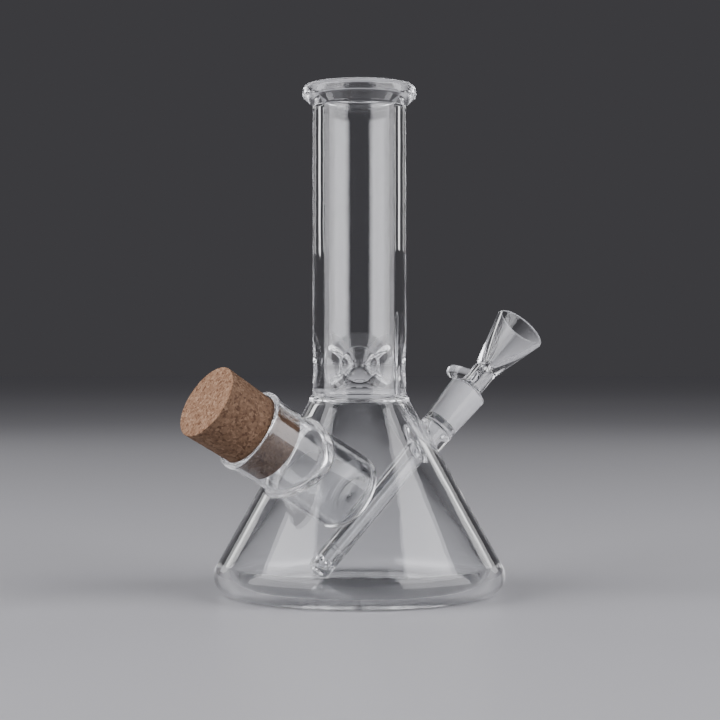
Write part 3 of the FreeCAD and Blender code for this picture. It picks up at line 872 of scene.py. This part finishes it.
def make_diffuser():
    """The closed tip, its vents cut right through the wall."""
    shell = Shell()
    foot = DIFFUSER_FOOT
    outside = [(0, foot), (DOWNSTEM_RADIUS, foot, DIFFUSER_ROUND), (DOWNSTEM_RADIUS, DOWNSTEM_FOOT)]
    inside = [(DOWNSTEM_BORE, DOWNSTEM_FOOT), (DOWNSTEM_BORE, foot + 1.8, 1.4), (0, foot + 1.8)]
    shell.lathe(stem_axis, rounded(outside + inside, 0.6), STEM_TURNS)
    tip = shell.build("diffuser_tip_glass", [CLEAR])
    drill = bpy.data.meshes.new("vent_drill")
    work = bmesh.new()
    for index in range(VENT_COUNT):
        turn = 2 * math.pi * index / VENT_COUNT
        spoke = stem_axis.outward(turn)
        heart = stem_axis.at(VENT_STATION, 0.0, turn)
        side = np.cross(spoke, stem_axis.along)
        ends = []
        for reach in (DOWNSTEM_BORE * 0.4, DOWNSTEM_RADIUS * 1.4):
            ring = []
            for k in range(DRILL_SIDES):
                lean = 2 * math.pi * k / DRILL_SIDES
                offset = VENT_RADIUS * (math.cos(lean) * side + math.sin(lean) * stem_axis.along)
                ring.append(work.verts.new((heart + reach * spoke + offset) * MM))
            ends.append(ring)
        for k in range(DRILL_SIDES):
            after = (k + 1) % DRILL_SIDES
            work.faces.new((ends[0][k], ends[0][after], ends[1][after], ends[1][k]))
        work.faces.new(ends[0][::-1])
        work.faces.new(ends[1])
    bmesh.ops.recalc_face_normals(work, faces=work.faces)
    work.to_mesh(drill)
    work.free()
    tool = link("vent_drill", drill)
    cutter = tip.modifiers.new("vents", "BOOLEAN")
    cutter.operation = "DIFFERENCE"
    cutter.solver = "EXACT"
    cutter.object = tool
    apply_modifiers(tip)
    bpy.data.objects.remove(tool)
    bpy.data.meshes.remove(drill)
    open_seam(tip, stem_axis, DOWNSTEM_FOOT)
    return tip


def apply_modifiers(piece):
    view = bpy.context.evaluated_depsgraph_get()
    done = bpy.data.meshes.new_from_object(piece.evaluated_get(view))
    old = piece.data
    piece.modifiers.clear()
    piece.data = done
    bpy.data.meshes.remove(old)


def open_seam(piece, axis, station):
    """Take away the flat ring of faces at a seam, and shade by real edges."""
    work = bmesh.new()
    work.from_mesh(piece.data)
    spare = []
    for face in work.faces:
        places = axis.cylindrical(np.array([corner.co for corner in face.verts]) / MM)[0]
        if np.abs(places - station).max() < 0.01:
            spare.append(face)
    bmesh.ops.delete(work, geom=spare, context="FACES_ONLY")
    loose = [edge for edge in work.edges if not edge.link_faces]
    bmesh.ops.delete(work, geom=loose, context="EDGES")
    for edge in work.edges:
        edge.smooth = len(edge.link_faces) != 2 or edge.calc_face_angle(0.0) < SHARP_ANGLE
    work.to_mesh(piece.data)
    work.free()
    piece.data.polygons.foreach_set("use_smooth", [True] * len(piece.data.polygons))


# ---------------------------------------------------------------- the bowl

SHOULDER = SOCKET_HEAD + 2.6
SHOULDER_TOP = SHOULDER + 0.5
HANDLE_RADIUS = 3.3
HANDLE_SEAL = 0.65
ROD_TURNS = 64


def handle_axis():
    """The rod's axis, from the middle of the bowl's neck to the end of the rod."""
    points = corner_points("bowl_handle")
    station, radius, _ = stem_axis.cylindrical(points)
    end = points[radius > radius.max() - 0.05].mean(axis=0)
    station, reach, _ = stem_axis.cylindrical(end[None])
    start = stem_axis.origin + station[0] * stem_axis.along
    return Axis(start, end - start, stem_axis.along), float(reach[0])


rod_axis, ROD_REACH = handle_axis()
neck_skin = TubeSkin(stem_axis, BOWL_NECK_RADIUS)
rod_seal, rod_seal_normals, rod_leaves = rolled_seal(
    rod_axis, HANDLE_RADIUS, HANDLE_SEAL, neck_skin, 2.0, 9.0, ROD_TURNS)


def make_bowl_stem():
    shell = Shell()
    foot_radius = GROUND_FOOT_BORE - GROUND_GAP
    head_radius = GROUND_HEAD_BORE - GROUND_GAP
    taper = (head_radius - foot_radius) / (SOCKET_HEAD - STEM_FOOT)
    bore = [
        (BOWL_NECK_BORE, STEM_HEAD),
        (BOWL_NECK_BORE, SHOULDER, 1.0),
        (4.6, SOCKET_HEAD, 1.0),
        (4.6, STEM_FOOT, 0.4),
        (foot_radius, STEM_FOOT, 0.5),
        (foot_radius + taper * 1.0, STEM_FOOT + 1.0),
    ]
    ground = [bore[-1], (head_radius - taper * 0.8, SOCKET_HEAD - 0.8)]
    shoulder = [
        ground[-1],
        (head_radius, SOCKET_HEAD, 0.6),
        (BOWL_NECK_RADIUS, SHOULDER, 1.2),
        (BOWL_NECK_RADIUS, SHOULDER_TOP),
    ]
    shell.lathe(stem_axis, rounded(bore, 0.6), STEM_TURNS)
    shell.lathe(stem_axis, rounded(ground, 1.0), STEM_TURNS, 1)
    shell.lathe(stem_axis, rounded(shoulder, 0.3), STEM_TURNS)
    turn = stem_axis.cylindrical(rod_axis.at(6.0, 0.0, 0.0)[None])[2][0]
    pierced(shell, neck_skin, SHOULDER_TOP, STEM_HEAD, STEM_TURNS, [rod_seal[-1]], turn + math.pi, 0.6)
    return shell.build("bowl_stem_glass", [CLEAR, GROUND])


def make_bowl_cone():
    shell = Shell()
    outline = [
        (BOWL_NECK_RADIUS, STEM_HEAD),
        (BOWL_NECK_RADIUS, STEM_HEAD + 1.2, 8.0),
        (BOWL_RADIUS, BOWL_RIM, 0.75),
        (BOWL_RADIUS - 1.6, BOWL_RIM, 0.75),
        (1.9, STEM_HEAD + 4.4, 1.2),
        (1.9, STEM_HEAD + 3.2, 0.6),
        (BOWL_NECK_BORE, STEM_HEAD + 1.4, 1.0),
        (BOWL_NECK_BORE, STEM_HEAD),
    ]
    shell.lathe(stem_axis, rounded(outline, 0.4), STEM_TURNS)
    return shell.build("bowl_cone_glass", [CLEAR])


def make_handle():
    shell = Shell()
    shell.grid(rod_seal, rod_seal_normals)
    plain = ROD_REACH - 6.0
    tube_rows(shell, rod_axis, HANDLE_RADIUS, rod_leaves, plain, ROD_TURNS, 0.8)
    end = [(HANDLE_RADIUS, plain), (HANDLE_RADIUS, ROD_REACH, 2.8), (0, ROD_REACH)]
    shell.lathe(rod_axis, rounded(end, 0.5), ROD_TURNS)
    return shell.build("bowl_handle_glass", [CLEAR])


# ---------------------------------------------------------------- the cork

CORK_TURNS = 240
CORK_ROWS = 0.55
PIT_SIZE = 1.6
END_FACING = 0.8
CORK_SEED = Vector((3.1, 7.7, 1.3))


def make_cork():
    """The tapered cork, pitted wherever a granule has fallen out."""
    taper = (CORK_RADIUS - 16.35) / (CORK_HEAD - BEAD_HEAD)
    foot_radius = CORK_RADIUS - taper * (CORK_HEAD - CORK_FOOT)
    outline = [
        (0, CORK_FOOT),
        (foot_radius, CORK_FOOT, 0.8),
        (CORK_RADIUS, CORK_HEAD, 0.45),
        (0, CORK_HEAD),
    ]
    shell = Shell()
    shell.lathe(jar_axis, rounded(outline, CORK_ROWS), CORK_TURNS)
    piece = shell.build("cork_stopper_body", [CORK_SIDE_WITH_PAINTED_SHADE, CORK_END])
    mesh = piece.data
    # faces that face along the axis take the end's cork; the rest take the side's darker copy, which is partly
    # painted shade
    for face in mesh.polygons:
        face.material_index = int(face.normal.dot(Vector(jar_axis.along)) > END_FACING)
    points = np.array([vertex.co for vertex in mesh.vertices]) / MM
    normals = np.array([vertex.normal for vertex in mesh.vertices])
    depth = np.array([pit_depth(point) for point in points])
    points = points - depth[:, None] * normals
    mesh.vertices.foreach_set("co", (points * MM).ravel())
    mesh.normals_split_custom_set_from_vertices([(0.0, 0.0, 0.0)] * len(points))
    mesh.update()
    return piece


def pit_depth(point):
    """How far the cork's surface lies below its turned form at a point."""
    spot = Vector(point) / PIT_SIZE + CORK_SEED
    broad = noise.noise(spot * 0.8)
    fine = noise.noise(spot * 2.6)
    pits = max(0.0, noise.noise(spot * 1.9 + CORK_SEED) - 0.32)
    return 0.06 + 0.05 * broad + 0.035 * fine + min(0.55, 2.2 * pits)


# ---------------------------------------------------------------- pieces onto bodies

BODY_PIECES = [
    (make_beaker_base, "beaker_base"),
    (make_beaker_wall, "beaker_wall"),
    (make_neck_seal, "neck_seal"),
    (make_ice_pinches, "ice_pinch_section"),
    (make_neck_tube, "neck_tube"),
    (make_lip, "mouthpiece_lip"),
    (make_jar, "storage_jar"),
    (make_jar_bead, "jar_mouth_bead"),
    (make_jar_seal, "jar_seal"),
    (make_socket, "joint_socket"),
    (make_socket_seal, "socket_seal"),
    (make_downstem, "downstem"),
    (make_diffuser, "diffuser_tip"),
]
BOWL_PIECES = [
    (make_bowl_stem, "bowl_stem"),
    (make_bowl_cone, "bowl_cone"),
    (make_handle, "bowl_handle"),
]

CORK_PIECES = [(make_cork, "cork_stopper")]
for body, makers in (("glass_body", BODY_PIECES), ("bowl", BOWL_PIECES), ("cork", CORK_PIECES)):
    for make, node in makers:
        piece = make()
        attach(piece, body)
        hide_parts(node)


# ---------------------------------------------------------------- stage, lights and camera

def make_floor():
    """A pale table top that fades into the studio's grey far behind the object."""
    material, shader = new_material("floor")
    place = add_node(material, "ShaderNodeTexCoord")
    far = add_node(material, "ShaderNodeVectorMath")
    far.operation = "LENGTH"
    join(material, place.outputs["Object"], far.inputs[0])
    spread = remap(material, far.outputs["Value"], 0.0, 4.0, 0.0, 1.0)
    greys = [(0.0, (0.60, 0.60, 0.62)), (0.25, (0.62, 0.62, 0.64)), (1.0, (0.93, 0.93, 0.95))]
    pale = ramp(material, spread, greys)
    join(material, pale, shader.inputs["Base Color"])
    shader.inputs["Roughness"].default_value = 0.38
    mesh = bpy.data.meshes.new("floor")
    work = bmesh.new()
    bmesh.ops.create_circle(work, cap_ends=True, segments=96, radius=12.0)
    work.to_mesh(mesh)
    work.free()
    mesh.materials.append(material)
    floor = link("floor", mesh)
    floor.location.z = -0.0002


def soft_light(name, place, aim, width, height, radiance, colour=(1.0, 1.0, 1.0)):
    """A softbox of a given brightness, out of sight of the camera."""
    light = bpy.data.lights.new(name, "AREA")
    light.shape = "RECTANGLE"
    light.size = width
    light.size_y = height
    light.energy = radiance * math.pi * width * height
    light.color = colour
    lamp = bpy.data.objects.new(name, light)
    lamp.location = place
    lamp.rotation_euler = (Vector(aim) - Vector(place)).to_track_quat("-Z", "Y").to_euler()
    lamp.visible_camera = False
    bpy.context.scene.collection.objects.link(lamp)


PANEL_TURN = math.radians(64)
PANEL_DISTANCE = 1.5
PANEL_MIDDLE = 0.86
PANEL_SIZE = (1.8, 1.7)
PANEL_RADIANCE = 5.0
PANEL_COLOUR = (0.97, 0.96, 1.0)
STUDIO_GREY = (0.052, 0.051, 0.056, 1.0)


def make_light():
    world = bpy.data.worlds.new("studio")
    bpy.context.scene.world = world
    world.use_nodes = True
    sky = world.node_tree.nodes["Background"]
    sky.inputs["Color"].default_value = STUDIO_GREY
    sky.inputs["Strength"].default_value = 1.0
    middle = (0, 0, 0.12)
    upright = (0, 0, PANEL_MIDDLE)
    for side in (-1, 1):
        across = side * PANEL_DISTANCE * math.sin(PANEL_TURN)
        place = (across, -PANEL_DISTANCE * math.cos(PANEL_TURN), PANEL_MIDDLE)
        soft_light("front_panel", place, upright, *PANEL_SIZE, PANEL_RADIANCE, PANEL_COLOUR)
        soft_light("back_panel", (side * 1.1, 1.3, 0.9), middle, 0.35, 1.4, 1.6)


CAMERA_DISTANCE = 0.8775
CAMERA_HEIGHT = 0.1053
CAMERA_LENS = 97.5
CAMERA_ASIDE = 0.0003


def make_camera():
    data = bpy.data.cameras.new("camera")
    data.lens = CAMERA_LENS
    data.sensor_width = 36.0
    data.clip_start = 0.01
    camera = bpy.data.objects.new("camera", data)
    camera.location = (CAMERA_ASIDE, -CAMERA_DISTANCE, CAMERA_HEIGHT)
    camera.rotation_euler = (math.radians(90), 0, 0)
    bpy.context.scene.collection.objects.link(camera)
    bpy.context.scene.camera = camera


make_floor()
make_light()
make_camera()

# light goes round inside the thick seals many times, and each time counts as a glossy bounce
GLASS_BOUNCES = 96
cycles = bpy.context.scene.cycles
cycles.max_bounces = GLASS_BOUNCES
cycles.transmission_bounces = GLASS_BOUNCES
cycles.glossy_bounces = GLASS_BOUNCES
cycles.transparent_max_bounces = 16
